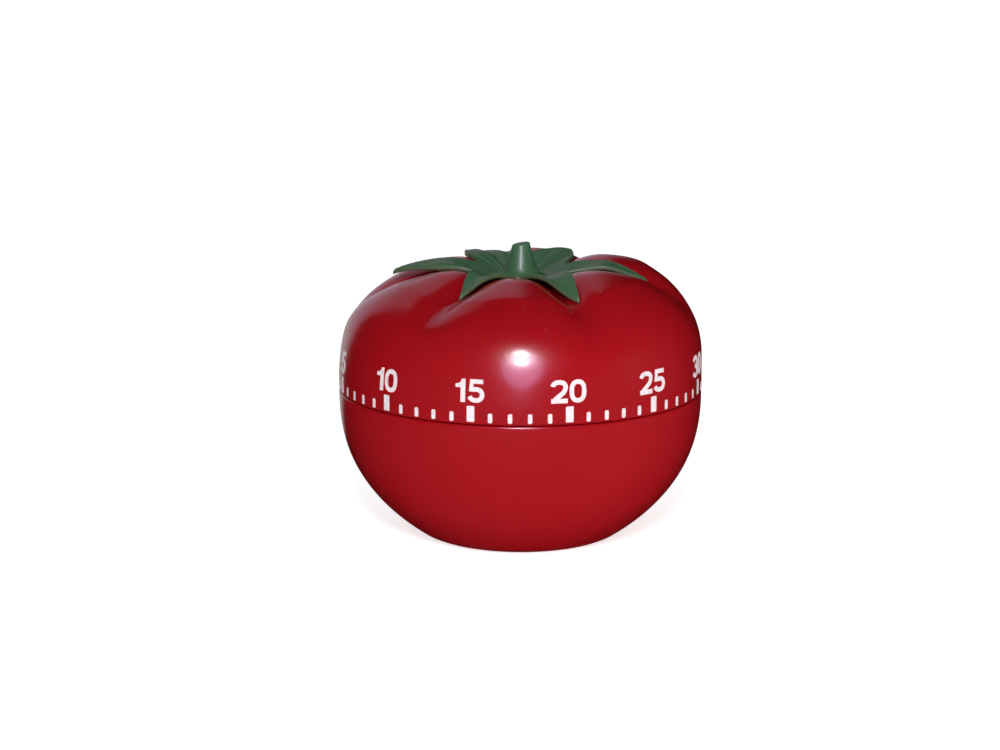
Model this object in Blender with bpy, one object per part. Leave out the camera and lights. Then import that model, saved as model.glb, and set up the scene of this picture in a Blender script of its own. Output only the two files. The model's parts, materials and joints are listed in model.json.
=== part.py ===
# Wind-up kitchen timer in the shape of a tomato: two moulded shells, a calyx,
# and the spring movement that drives them. Metres, +Z up, origin under the foot ring.
import bpy
import bmesh
from math import sin, cos, pi, radians, degrees, atan2, hypot, acos
from mathutils import Vector
from mathutils.geometry import tessellate_polygon

for old in list(bpy.data.objects):
    bpy.data.objects.remove(old, do_unlink=True)

MM = 0.001

# ---- driving dimensions, millimetres -------------------------------------
SEAM_Z = 28.5            # parting line between body and dial
BODY_R = 35.0            # widest radius of the lower shell
BODY_DEPTH = 35.34       # the four numbers of the lower profile curve
BODY_P, BODY_Q = 2.411, 1.390
DOME_R, DOME_H = 35.0, 26.0
DOME_P, DOME_Q = 3.486, 2.397
WALL = 2.0
SEG_BODY = 36
SEG_DOME = 36                # a multiple of the lobes, so each valley has a vertex line
LOBES = 6
VALLEY = -19.5           # azimuth of the first valley, degrees
INDEX = -90.0            # azimuth of the index mark and of the scale's zero
HUB_TOP_H = 20.8         # shell height above the seam on the axis

FLOOR_Z0, FLOOR_Z1 = 0.8, 2.8
FOOT_R0, FOOT_R1 = 15.4, 17.4
SCREW_R = 12.4           # pitch radius of the three base screws
SCREW_AZ = (90.0, 210.0, 330.0)
SLOTS = 8

PLATE_R, PLATE_T = 27.0, 1.0
PLATE_Z0, PLATE_Z1 = 13.0, 26.0      # undersides of the two plates
PILLARS = ((45.0, 24.5), (181.0, 25.0), (238.0, 24.5), (318.0, 24.5))

ARBOR_R = 1.6
PIVOT_R, PIVOT_HOLE = 0.4, 0.5
STEM_R, BORE_R = 0.8, 0.86           # small arbors and the bores pressed on them

GREAT = (48, 0.60)                   # teeth, module
SECOND = (48, 0.43)
THIRD = (48, 0.37)
PINION = 8
BARREL = (36, 0.60)
ALARM_PINION = 17
ESCAPE_N, ESCAPE_R = 20, 5.6
STAR_N, STAR_R = 15, 5.2

GREAT_Z, SECOND_Z, THIRD_Z = 22.8, 20.0, 18.4
ESCAPE_Z, BARREL_Z, STAR_Z = 20.0, 14.3, 18.4
CAM_Z, RATCHET_Z = 24.4, 21.7

BELL_R, BELL_Z = 9.2, 4.4


def polar(r, az, centre=(0.0, 0.0)):
    return (centre[0] + r * cos(radians(az)), centre[1] + r * sin(radians(az)))


def reach(az, from_r, centre, dist):
    """The point at dist from centre whose distance from the axis is from_r, further round than centre."""
    c = hypot(*centre)
    bend = degrees(acos((c * c + from_r * from_r - dist * dist) / (2 * c * from_r)))
    return polar(from_r, az + bend)


SECOND_C = polar((GREAT[0] + PINION) * GREAT[1] / 2, 90.0)
THIRD_C = reach(90.0, 17.4, SECOND_C, (SECOND[0] + PINION) * SECOND[1] / 2)
ESCAPE_C = reach(degrees(atan2(THIRD_C[1], THIRD_C[0])), 17.4, THIRD_C,
                 (THIRD[0] + PINION) * THIRD[1] / 2)
PALLET_SPAN = 40.5                   # half the angle the pallets embrace
PALLET_C = polar(ESCAPE_R / cos(radians(PALLET_SPAN)), 248.4, ESCAPE_C)
ALARM_C = polar((BARREL[0] + ALARM_PINION) * BARREL[1] / 2, -30.0)
HAMMER_SPAN = 42.0
HAMMER_C = polar(STAR_R / cos(radians(HAMMER_SPAN)), 246.7, ALARM_C)
HAMMER_HEAD = polar(11.6, -95.0)
TRIP_C = polar(19.0, 20.0)
CAM_R = 6.0
NOSE_AZ = 20.0 - degrees(acos((CAM_R + 0.2) / 19.0))


# ---- materials -------------------------------------------------------------
def finish(name, colour, rough, metal=0.0, coat=0.0):
    mat = bpy.data.materials.new(name)
    mat.use_nodes = True
    node = mat.node_tree.nodes["Principled BSDF"]
    node.inputs["Base Color"].default_value = (*colour, 1.0)
    node.inputs["Roughness"].default_value = rough
    node.inputs["Metallic"].default_value = metal
    node.inputs["Coat Weight"].default_value = coat
    return mat


RED = ("red_plastic", (0.36, 0.008, 0.012), 0.18, 0.0, 0.4)
GREEN = ("green_plastic", (0.045, 0.15, 0.07), 0.35)
BRASS = ("brass", (0.72, 0.47, 0.18), 0.3, 1.0)
STEEL = ("steel", (0.55, 0.55, 0.56), 0.3, 1.0)
ZINC = ("zinc_plated_steel", (0.62, 0.62, 0.60), 0.4, 1.0)
SPRING = ("blued_spring_steel", (0.10, 0.12, 0.20), 0.3, 1.0)


# ---- solids ----------------------------------------------------------------
def solid(name, verts, faces, look, origin=(0.0, 0.0, 0.0)):
    mesh = bpy.data.meshes.new(name)
    at = Vector(origin)
    mesh.from_pydata([(Vector(v) - at) * MM for v in verts], [], faces)
    bm = bmesh.new()
    bm.from_mesh(mesh)
    bmesh.ops.remove_doubles(bm, verts=bm.verts, dist=1e-7)
    bmesh.ops.recalc_face_normals(bm, faces=bm.faces)
    bm.to_mesh(mesh)
    bm.free()
    obj = bpy.data.objects.new(name, mesh)
    obj.location = at * MM
    bpy.context.scene.collection.objects.link(obj)
    if look:
        mesh.materials.append(finish(name + "_" + look[0], *look[1:]))
    return obj


def revolve(name, rings, seg, look, centre=(0.0, 0.0), phase=0.0, shape=None):
    """Turn a profile about a vertical axis. A ring is (r, z, ...); r = 0 is a point on the axis.
    The profile either starts and ends on the axis or closes on itself. shape(ring, azimuth)
    gives (r, z) where the section changes round the axis."""
    verts, loops = [], []
    for ring in rings:
        if ring[0] <= 1e-9:
            loops.append([len(verts)])
            verts.append((*centre, ring[1]))
            continue
        first = len(verts)
        for k in range(seg):
            az = phase + 360.0 * k / seg
            r, z = shape(ring, az) if shape else ring[:2]
            verts.append((*polar(r, az, centre), z))
        loops.append(list(range(first, first + seg)))
    closed = len(loops[0]) > 1
    faces = []
    for i in range(len(loops) if closed else len(loops) - 1):
        a, b = loops[i], loops[(i + 1) % len(loops)]
        if len(a) == 1 and len(b) == 1:
            continue
        for k in range(seg):
            j = (k + 1) % seg
            if len(a) == 1:
                faces.append((a[0], b[k], b[j]))
            elif len(b) == 1:
                faces.append((a[k], a[j], b[0]))
            else:
                faces.append((a[k], a[j], b[j], b[k]))
    return solid(name, verts, faces, look, (*centre, 0.0))


def prism(name, loops, z0, z1, look, centre=(0.0, 0.0)):
    """Flat stock between two heights: the first loop is the outline, the rest are holes."""
    flat = [p for loop in loops for p in loop]
    tris = tessellate_polygon([[Vector((x, y, 0.0)) for x, y in loop] for loop in loops])
    n = len(flat)
    verts = [(x, y, z0) for x, y in flat] + [(x, y, z1) for x, y in flat]
    faces = [tuple(t) for t in tris] + [tuple(i + n for i in reversed(t)) for t in tris]
    start = 0
    for loop in loops:
        m = len(loop)
        for k in range(m):
            a, b = start + k, start + (k + 1) % m
            faces.append((a, b, b + n, a + n))
        start += m
    return solid(name, verts, faces, look, (*centre, 0.0))


def circle(r, seg=12, centre=(0.0, 0.0), phase=0.0):
    return [polar(r, phase + 360.0 * k / seg, centre) for k in range(seg)]


def strip(name, path, width, z0, z1, look, origin=(0.0, 0.0)):
    """A thin band of constant width along a flat path, standing on edge."""
    left, right = [], []
    for i, p in enumerate(path):
        a, b = path[max(i - 1, 0)], path[min(i + 1, len(path) - 1)]
        dx, dy = b[0] - a[0], b[1] - a[1]
        size = hypot(dx, dy)
        nx, ny = -dy / size * width / 2, dx / size * width / 2
        left.append((p[0] + nx, p[1] + ny))
        right.append((p[0] - nx, p[1] - ny))
    n = len(path)
    verts = [(x, y, z) for z in (z0, z1) for x, y in left + right]
    faces = [(0, n, 3 * n, 2 * n), (n - 1, 3 * n - 1, 4 * n - 1, 2 * n - 1)]
    for i in range(n - 1):
        l0, l1, r0, r1 = i, i + 1, n + i, n + i + 1
        up = 2 * n
        faces += [(l0, l1, r1, r0), (l0 + up, r0 + up, r1 + up, l1 + up),
                  (l0, l0 + up, l1 + up, l1), (r0, r1, r1 + up, r0 + up)]
    return solid(name, verts, faces, look, (*origin, 0.0))


def boolean(obj, tools, operation):
    """Apply exact booleans in turn and drop the tools."""
    for tool in tools:
        mod = obj.modifiers.new("cut", "BOOLEAN")
        mod.operation, mod.solver, mod.object = operation, "EXACT", tool
    bpy.context.view_layer.update()
    graph = bpy.context.evaluated_depsgraph_get()
    mesh = bpy.data.meshes.new_from_object(obj.evaluated_get(graph))
    obj.modifiers.clear()
    obj.data = mesh
    for tool in tools:
        bpy.data.objects.remove(tool, do_unlink=True)
    return obj


def post(r, z0, z1, centre=(0.0, 0.0), seg=12):
    return revolve("tool", [(0, z0), (r, z0), (r, z1), (0, z1)], seg, None, centre, phase=7.0)


# ---- gear outlines ---------------------------------------------------------
def teeth(n, module, centre, phase, tip, root, add, ded):
    """Slim straight-sided teeth with backlash; tip and root are widths in steps."""
    rp, step = n * module / 2, 360.0 / n
    out = []
    for k in range(n):
        c = phase + k * step
        for r, w in ((rp - ded * module, -root / 2), (rp + add * module, -tip / 2),
                     (rp + add * module, tip / 2), (rp - ded * module, root / 2)):
            out.append(polar(r, c + w * step, centre))
    return out


def wheel_teeth(n, module, centre, phase):
    return teeth(n, module, centre, phase, 0.16, 0.52, 0.95, 1.3)


def pinion_teeth(n, module, centre, phase):
    return teeth(n, module, centre, phase, 0.14, 0.34, 0.75, 1.35)


def mate(from_c, to_c, n1, n2, phase):
    """Phase of a gear of n2 teeth at to_c whose gap takes the tooth of the gear at from_c."""
    line = degrees(atan2(to_c[1] - from_c[1], to_c[0] - from_c[0]))
    return line + 180.0 + 180.0 / n2 - (phase - line) * n1 / n2


def crossings(r0, r1, centre, arms, phase=0.0, web=1.3):
    """Openings between the arms of a wheel."""
    out = []
    for k in range(arms):
        a0, a1 = phase + 360.0 * k / arms, phase + 360.0 * (k + 1) / arms
        lo, hi = degrees(web / 2 / r0), degrees(web / 2 / r1)
        loop = [polar(r1, a0 + hi + (a1 - a0 - 2 * hi) * j / 5, centre) for j in range(6)]
        loop += [polar(r0, a1 - lo - (a1 - a0 - 2 * lo) * j / 2, centre) for j in range(3)]
        out.append(loop)
    return out


def gear_wheel(name, spec, centre, z, phase, bore, arms, look):
    n, module = spec
    rp = n * module / 2
    loops = [wheel_teeth(n, module, centre, phase), circle(bore, 12, centre)]
    if arms:
        loops += crossings(bore + 2.2, rp - 2.6 * module - 0.6, centre, arms)
    return prism(name, loops, z, z + 1.0, look, centre)


def arbor(name, centre, steps, look, gear=None):
    """A turned arbor from (radius, top height) steps; gear = (outline, z0, z1) adds pinion leaves."""
    z0 = steps[0][1]
    rings = [(0, z0)]
    z = z0
    for r, top in steps[1:]:
        rings += [(r, z), (r, top)]
        z = top
    rings.append((0, z))
    obj = revolve(name, rings, 12, look, centre)
    if gear:
        outline, g0, g1 = gear
        boolean(obj, [prism("tool", [outline], g0, g1, None, centre)], "UNION")
    return obj


# ---- the two shells and the calyx ------------------------------------------
def body_radius(z):
    depth = max(SEAM_Z - z, 0.0)
    return BODY_R * (1 - (depth / BODY_DEPTH) ** BODY_P) ** (1 / BODY_Q)


def dome_radius(h):
    return DOME_R * (1 - (h / DOME_H) ** DOME_P) ** (1 / DOME_Q)


# Crest line of the dome: radius, height above the seam, depth of the valleys there.
CREST = [(dome_radius(h), h, d) for h, d in ((0.6, 0), (4.0, 0), (9.0, 0), (13.0, 0.0), (16.5, 0.25),
                                             (19.2, 1.0), (21.3, 2.0), (22.8, 2.9))]
CREST += [(19.0, 23.75, 3.3), (16.0, 24.25, 3.4), (13.0, 24.15, 3.0), (10.0, 23.2, 2.0),
          (7.0, 21.9, 0.8), (4.5, 21.1, 0.15), (2.6, 20.85, 0.0)]


def crest(u):
    """Point, outward normal and valley depth at row u (may be fractional) of the crest line."""
    i = min(int(u), len(CREST) - 2)
    f = u - i
    p, q = CREST[i], CREST[i + 1]
    r, h, d = (p[k] + (q[k] - p[k]) * f for k in range(3))
    lo, hi = CREST[max(i - 1, 0)] if f < 0.5 else p, q if f < 0.5 else CREST[min(i + 2, len(CREST) - 1)]
    dr, dh = hi[0] - lo[0], hi[1] - lo[1]
    size = hypot(dr, dh)
    return r, h, dh / size, -dr / size, d


def valley(az):
    return ((1 + cos(radians(LOBES * (az - VALLEY)))) / 2) ** 1.6


def dome_point(u, az, off):
    r, h, nr, nh, d = crest(u)
    push = off - d * valley(az)
    return r + nr * push, SEAM_Z + h + nh * push


def lower_shell():
    heights = (0.9, 2.4, 5.0, 8.5, 13.0, 18.0, 23.5, 27.9)
    rings = [(0, FLOOR_Z0), (FOOT_R0 - 0.3, FLOOR_Z0), (FOOT_R0, 0), (FOOT_R1, 0)]
    rings += [(body_radius(z), z) for z in heights]
    rings += [(BODY_R - 0.5, 28.3), (BODY_R - 1.9, 28.3), (BODY_R - 2.5, 27.8)]
    rings += [(body_radius(z) - 2.2, z) for z in (23.5, 18.0, 13.0, 8.5, 5.2)]
    rings += [(18.6, FLOOR_Z1), (2.6, FLOOR_Z1), (2.6, 8.5), (1.0, 8.5), (1.0, 4.0), (0, 4.0)]
    shell = revolve("lower_shell", rings, SEG_BODY, RED)
    boolean(shell, [post(2.6, 2.0, PLATE_Z0 - 0.1, polar(SCREW_R, az)) for az in SCREW_AZ], "UNION")
    cuts = [post(1.2, 1.5, 20.0, polar(SCREW_R, az)) for az in SCREW_AZ]
    cuts += [post(2.25, 0.3, 2.3, polar(SCREW_R, az)) for az in SCREW_AZ]
    for k in range(SLOTS):
        az = 22.5 + 360.0 * k / SLOTS
        half = 0.7
        loop = [polar(hypot(r, w), az + degrees(atan2(w, r)))
                for r, w in ((4.0, -half), (8.6, -half), (8.6, half), (4.0, half))]
        cuts.append(prism("tool", [loop], 0.3, 3.6, None))
    return boolean(shell, cuts, "DIFFERENCE")


def dial_shell():
    last = len(CREST) - 1
    out = [(1.0, 0.0, u, 0.0) for u in range(last + 1)]
    inn = [(1.0, 0.0, u, -WALL) for u in (11, 10, 9, 8, 7, 6, 4.6, 3, 1)]

    def shape(ring, az):
        return ring[:2] if len(ring) == 2 else dome_point(ring[2], az, ring[3])

    rings = [(34.2, SEAM_Z + 0.2)] + out + [(0, SEAM_Z + HUB_TOP_H)]
    bore = [(0, 44.0), (ARBOR_R + 0.1, 44.0), (ARBOR_R + 0.1, 29.0), (4.0, 29.0), (4.0, 46.0)]
    skirt = [(31.9, SEAM_Z + 1.0), (31.0, SEAM_Z + 0.0), (31.0, 26.4), (32.0, 26.4), (32.0, SEAM_Z + 0.2)]
    return revolve("dial_shell", rings + bore + inn + skirt, SEG_DOME, RED, phase=VALLEY, shape=shape)


LEAF_TIP_U, LEAF_HUB_U = 7.0, 11.6


def leaf_edge(az):
    """Row of the crest line where the calyx ends at this azimuth."""
    swing = ((1 + cos(radians(LOBES * (az - VALLEY)))) / 2) ** 1.25
    return LEAF_HUB_U + (LEAF_TIP_U - LEAF_HUB_U) * swing


def calyx():
    last = len(CREST) - 1
    rows = last - int(LEAF_TIP_U)        # down a valley, one calyx row to each row of the shell
    steps = [k / rows for k in range(rows + 1)]

    def shape(ring, az):
        if len(ring) == 2:
            return ring
        u = last + (leaf_edge(az) - last) * ring[2]
        return dome_point(u, az, ring[3])

    top = [(1.0, 0.0, s, 1.7 if s < 0.99 else 1.3) for s in steps]
    under = [(1.0, 0.0, s, 0.65) for s in reversed(steps)]
    stem = [(0, 56.5), (1.65, 56.4), (2.15, 54.6), (2.9, 52.9)]
    return revolve("calyx", stem + top + under + [(0, SEAM_Z + HUB_TOP_H + 0.6)], SEG_DOME, GREEN,
                   phase=VALLEY, shape=shape)


# ---- base pieces -------------------------------------------------------------
def base_pieces():
    for k, az in enumerate(SCREW_AZ, 1):
        revolve("base_screw_%d" % k, [(0, 1.1), (1.6, 1.1), (2.0, 1.4), (2.0, 2.2), (1.05, 2.2),
                                      (1.05, 14.0), (0, 14.2)], 10, ZINC, polar(SCREW_R, az))
    z = BELL_Z
    revolve("bell", [(1.2, z + 4.2), (1.2, z + 4.8), (6.4, z + 4.8), (8.5, z + 3.9), (BELL_R, z + 1.2),
                     (BELL_R, z), (BELL_R - 0.6, z), (BELL_R - 0.6, z + 1.2), (8.0, z + 3.5),
                     (6.2, z + 4.2)], 20, STEEL)
    revolve("bell_screw", [(0, 4.6), (0.9, 4.8), (0.9, z + 4.9), (2.0, z + 4.9), (2.0, z + 5.6),
                           (1.5, z + 5.9), (0, z + 5.9)], 12, ZINC)


def plates():
    small = [SECOND_C, THIRD_C, ESCAPE_C, PALLET_C, ALARM_C]
    posts = [polar(r, az) for az, r in PILLARS]
    lower = [circle(PLATE_R, 36), circle(1.1, 12)]
    lower += [circle(PIVOT_HOLE, 8, c) for c in small] + [circle(STEM_R + 0.1, 12, HAMMER_C)]
    lower += [circle(1.1, 8, c) for c in posts] + [circle(1.2, 8, polar(SCREW_R, a)) for a in SCREW_AZ]
    prism("lower_plate", lower, PLATE_Z0, PLATE_Z0 + PLATE_T, ZINC)
    upper = [circle(PLATE_R, 36), circle(ARBOR_R + 0.1, 16)]
    upper += [circle(PIVOT_HOLE, 8, c) for c in small + [HAMMER_C]]
    upper += [circle(1.1, 8, c) for c in posts] + [circle(0.9, 12, TRIP_C)]
    prism("upper_plate", upper, PLATE_Z1, PLATE_Z1 + PLATE_T, ZINC)
    for k, c in enumerate(posts, 1):
        lo, hi = PLATE_Z0 + PLATE_T + 0.03, PLATE_Z1 - 0.03
        revolve("pillar_%d" % k, [(0, PLATE_Z0), (1.0, PLATE_Z0), (1.0, lo), (1.8, lo), (1.8, hi),
                                  (1.0, hi), (1.0, 28.4), (0, 28.4)], 8, STEEL, c)
        prism("pillar_nut_%d" % k, [circle(2.1, 6, c), circle(1.12, 8, c)], 27.05, 28.1, ZINC, c)


# ---- dial side of the movement -------------------------------------------------
def dial_works():
    arbor("center_arbor", (0.0, 0.0), [(0, 13.0), (1.0, 14.1), (ARBOR_R, 43.6)], STEEL)
    n, lo, hi = 12, 3.2, 4.2
    saw = []
    for k in range(n):
        saw += [polar(lo, 360.0 * k / n + 1.0), polar(hi, 360.0 * (k + 1) / n)]
    prism("ratchet_wheel", [saw, circle(ARBOR_R + 0.08, 12)], RATCHET_Z, RATCHET_Z + 0.8, STEEL)
    rim = []
    for k in range(36):
        az = NOSE_AZ + 9.0 + 342.0 * k / 35
        rim.append(polar(CAM_R, az))
    rim += [polar(CAM_R - 2.4, NOSE_AZ - 7.0), polar(CAM_R - 2.4, NOSE_AZ + 7.0)]
    prism("trip_cam", [rim, circle(ARBOR_R + 0.08, 12)], CAM_Z, CAM_Z + 0.8, STEEL)
    turns, start, end = 4, ARBOR_R + 0.35, 9.3
    count = turns * 15
    path = [polar(start + (end - start) * k / count, 360.0 * k / 15) for k in range(count + 1)]
    strip("mainspring", path, 0.35, 15.9, 17.9, SPRING)


def great_wheel_set():
    gear_wheel("great_wheel", GREAT, (0.0, 0.0), GREAT_Z, 90.0, ARBOR_R + 0.12, 4, BRASS)
    pivot = (5.2, 5.4)
    eye = [polar(1.2, az, pivot) for az in (-20, 10, 40, 70, 100, 130, 160, 190)]
    outline = [(3.5, 0.1), (4.5, 0.1)] + eye + [(4.15, 2.2)]
    prism("click", [outline, circle(0.56, 12, pivot)], RATCHET_Z, RATCHET_Z + 0.8, STEEL, pivot)
    revolve("click_rivet", [(0, RATCHET_Z - 0.5), (0.9, RATCHET_Z - 0.5), (0.9, RATCHET_Z - 0.1),
                            (0.5, RATCHET_Z - 0.1), (0.5, GREAT_Z - 0.02), (0, GREAT_Z - 0.02)],
            12, STEEL, pivot)
    path = [(10.8, 1.0), (9.6, 0.6), (8.2, 0.9), (6.9, 1.6), (5.9, 2.6)]
    strip("click_spring", path, 0.3, RATCHET_Z + 0.1, GREAT_Z - 0.03, SPRING)


def train():
    g, s, t = GREAT, SECOND, THIRD
    p = mate((0, 0), SECOND_C, g[0], PINION, 90.0)
    arbor("second_arbor", SECOND_C, [(0, 13.1), (PIVOT_R, 14.1), (STEM_R, 25.9), (PIVOT_R, 26.9)], STEEL,
          (pinion_teeth(PINION, g[1], SECOND_C, p), GREAT_Z - 0.4, GREAT_Z + 1.4))
    gear_wheel("second_wheel", s, SECOND_C, SECOND_Z, 0.0, BORE_R, 0, BRASS)
    p = mate(SECOND_C, THIRD_C, s[0], PINION, 0.0)
    arbor("third_arbor", THIRD_C, [(0, 13.1), (PIVOT_R, 14.1), (STEM_R, 25.9), (PIVOT_R, 26.9)], STEEL,
          (pinion_teeth(PINION, s[1], THIRD_C, p), SECOND_Z - 0.3, SECOND_Z + 1.3))
    gear_wheel("third_wheel", t, THIRD_C, THIRD_Z - 0.1, 0.0, BORE_R, 0, BRASS)
    p = mate(THIRD_C, ESCAPE_C, t[0], PINION, 0.0)
    arbor("escape_arbor", ESCAPE_C, [(0, 13.1), (PIVOT_R, 14.1), (0.7, 25.9), (PIVOT_R, 26.9)], STEEL,
          (pinion_teeth(PINION, t[1], ESCAPE_C, p), THIRD_Z - 0.4, THIRD_Z + 1.1))
    star_wheel("escape_wheel", ESCAPE_C, ESCAPE_N, ESCAPE_R, ESCAPE_Z, 248.4 - PALLET_SPAN, 1.35, 0.76)


def star_wheel(name, centre, n, radius, z, toward, depth, bore):
    """Pointed teeth, a quarter step off the line to each pallet pin."""
    step = 360.0 / n
    loop = []
    for k in range(n):
        a = toward + step * (k + 0.25)
        loop += [polar(radius - depth, a - step * 0.30, centre), polar(radius, a - step * 0.03, centre),
                 polar(radius, a + step * 0.03, centre), polar(radius - depth, a + step * 0.30, centre)]
    return prism(name, [loop, circle(bore, 12, centre)], z, z + 0.8, BRASS, centre)


def anchor(name, centre, wheel_c, wheel_r, span, toward, z, pin_r, bore, pin_z):
    """A flat lever whose two pins straddle a star wheel."""
    pins = [polar(wheel_r + pin_r + 0.16, toward + s * span, wheel_c) for s in (-1, 1)]
    ways = [degrees(atan2(q[1] - centre[1], q[0] - centre[0])) for q in pins]
    first, second = [[polar(0.95, way + a, q) for a in (-90, -30, 30, 90)] for way, q in zip(ways, pins)]
    mid = degrees(atan2(wheel_c[1] - centre[1], wheel_c[0] - centre[0]))
    inner, outer = polar(1.9, mid, centre), [polar(1.9, mid + a, centre) for a in (120, 180, 240)]
    if (ways[0] - mid + 540) % 360 > 180:
        loop = second + [inner] + first + outer
    else:
        loop = first + [inner] + second + outer
    prism(name, [loop, circle(bore, 12, centre)] + [circle(pin_r + 0.05, 12, q) for q in pins],
          z, z + 0.7, BRASS, centre)
    for k, q in enumerate(pins, 1):
        revolve("%s_pin_%d" % (name, k), [(0, pin_z[0]), (pin_r, pin_z[0]), (pin_r, pin_z[1]),
                                          (0, pin_z[1])], 12, STEEL, q)


def pallet_set():
    arbor("pallet_arbor", PALLET_C, [(0, 13.1), (PIVOT_R, 14.1), (0.7, 25.9), (PIVOT_R, 26.9)], STEEL)
    anchor("pallet_lever", PALLET_C, ESCAPE_C, ESCAPE_R, PALLET_SPAN, 248.4, ESCAPE_Z + 1.1, 0.25, 0.76,
           (ESCAPE_Z - 0.1, ESCAPE_Z + 1.8))
    along = degrees(atan2(PALLET_C[1], PALLET_C[0])) + 90.0
    bar = [polar(6.3, along + a, PALLET_C) for a in (-10, 10)]
    bar += [polar(1.6, along + 90, PALLET_C)]
    bar += [polar(6.3, along + 180 + a, PALLET_C) for a in (-10, 10)]
    bar += [polar(1.6, along - 90, PALLET_C)]
    prism("inertia_bar", [bar, circle(0.76, 12, PALLET_C)], 15.0, 16.2, ZINC, PALLET_C)


# ---- striking work ---------------------------------------------------------------
def striking():
    gear_wheel("barrel_wheel", BARREL, (0.0, 0.0), BARREL_Z, -30.0, ARBOR_R + 0.15, 0, BRASS)
    z = BARREL_Z + 1.03
    revolve("spring_barrel", [(2.4, z), (10.3, z), (10.3, z + 2.7), (9.8, z + 2.7), (9.8, z + 0.4),
                              (2.4, z + 0.4)], 24, BRASS)
    p = mate((0, 0), ALARM_C, BARREL[0], ALARM_PINION, -30.0)
    arbor("alarm_arbor", ALARM_C, [(0, 13.1), (PIVOT_R, 14.1), (0.7, 25.9), (PIVOT_R, 26.9)], STEEL,
          (pinion_teeth(ALARM_PINION, BARREL[1], ALARM_C, p), BARREL_Z - 0.1, BARREL_Z + 0.95))
    star_wheel("alarm_wheel", ALARM_C, STAR_N, STAR_R, STAR_Z, 246.7 - HAMMER_SPAN, 1.3, 0.76)
    arbor("hammer_arbor", HAMMER_C, [(0, 10.0), (STEM_R, 25.9), (PIVOT_R, 26.9)], STEEL)
    anchor("hammer_lever", HAMMER_C, ALARM_C, STAR_R, HAMMER_SPAN, 246.7, STAR_Z + 1.1, 0.3, BORE_R,
           (STAR_Z - 0.1, STAR_Z + 1.8))
    az = degrees(atan2(HAMMER_HEAD[1] - HAMMER_C[1], HAMMER_HEAD[0] - HAMMER_C[0]))
    arm = [polar(1.6, az + a, HAMMER_HEAD) for a in (-100, -50, 0, 50, 100)]
    arm += [polar(2.0, az + a, HAMMER_C) for a in (100, 150, 180, 210, 260)]
    prism("hammer_arm", [arm, circle(BORE_R, 12, HAMMER_C), circle(0.76, 12, HAMMER_HEAD)],
          10.8, 11.6, STEEL, HAMMER_C)
    revolve("hammer_head", [(0, 5.0), (1.5, 5.0), (1.5, 10.7), (0.7, 10.7), (0.7, 11.8), (0, 11.8)], 12,
            STEEL, HAMMER_HEAD)


def trip_work():
    z = CAM_Z
    nose = polar(CAM_R + 0.15, NOSE_AZ)
    tail = (16.25, -2.6)
    az = degrees(atan2(nose[1] - TRIP_C[1], nose[0] - TRIP_C[0]))
    down = degrees(atan2(tail[1] - TRIP_C[1], tail[0] - TRIP_C[0]))
    nx, ny = cos(radians(az)), sin(radians(az))
    out = (-ny, nx) if -ny * nose[0] + nx * nose[1] > 0 else (ny, -nx)
    tip = [(nose[0] + out[0] * a + nx * b, nose[1] + out[1] * a + ny * b)
           for a, b in ((2.2, 0.45), (0.0, 0.3), (0.0, -0.3), (1.2, -0.9))]
    loop = tip + [polar(1.7, 115, TRIP_C), polar(1.7, 60, TRIP_C), polar(1.7, 0, TRIP_C), polar(1.7, -50, TRIP_C)]
    loop += [(tail[0] + 0.8, tail[1]), (tail[0] - 0.4, tail[1] - 0.6), (tail[0] - 0.6, tail[1] + 0.2),
             (TRIP_C[0] - 3.4, TRIP_C[1] - 5.2)]
    prism("trip_lever", [loop, circle(0.98, 12, TRIP_C)], z, z + 0.8, STEEL, TRIP_C)
    revolve("trip_post", [(0, z - 0.6), (1.5, z - 0.6), (1.5, z - 0.1), (0.9, z - 0.1), (0.9, 25.97),
                          (0.8, 25.97), (0.8, 27.0), (0, 27.0)], 12, STEEL, TRIP_C)


lower_shell()
base_pieces()
plates()
dial_shell()
calyx()
dial_works()
great_wheel_set()
train()
pallet_set()
striking()
trip_work()
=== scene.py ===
# %% [markdown]
# # A tomato kitchen timer
# A wind-up timer in two moulded halves. The lower half stands still, the upper half is the dial:
# it is turned to wind the spring, and creeps back to zero while the clockwork runs. This lesson
# dresses the machine's solids with the surfaces that are seen: the two glossy shells, the printed
# scale, the leafy calyx, and the metal inside.

# %% The machine's solids
import json
from math import cos, exp, pi, radians, sin, sqrt

import bmesh
import bpy
import numpy as np
from mathutils import Matrix, Vector


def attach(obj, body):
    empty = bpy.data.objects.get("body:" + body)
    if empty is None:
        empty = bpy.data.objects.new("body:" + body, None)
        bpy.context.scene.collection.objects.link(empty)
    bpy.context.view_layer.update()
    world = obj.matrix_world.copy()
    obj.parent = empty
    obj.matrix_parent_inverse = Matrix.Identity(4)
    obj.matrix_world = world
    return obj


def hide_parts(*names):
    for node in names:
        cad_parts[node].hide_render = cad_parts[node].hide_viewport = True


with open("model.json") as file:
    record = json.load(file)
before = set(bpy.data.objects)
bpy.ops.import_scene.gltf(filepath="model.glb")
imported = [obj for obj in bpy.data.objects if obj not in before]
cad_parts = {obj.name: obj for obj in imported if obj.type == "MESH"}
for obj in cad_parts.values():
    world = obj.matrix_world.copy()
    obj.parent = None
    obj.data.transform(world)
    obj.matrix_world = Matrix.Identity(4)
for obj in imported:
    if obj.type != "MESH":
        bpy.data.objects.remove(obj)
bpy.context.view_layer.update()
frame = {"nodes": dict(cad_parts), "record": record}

MM = 0.001

# %% [markdown]
# ## Sizes
# Everything is measured from the parting line between the halves. Below it the body narrows to a
# small foot; above it the dome keeps its width, then rolls over into six lobes. Both outlines are
# stretched ellipses (superellipses): two exponents say how boxy or how pointed the curve is.

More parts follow.
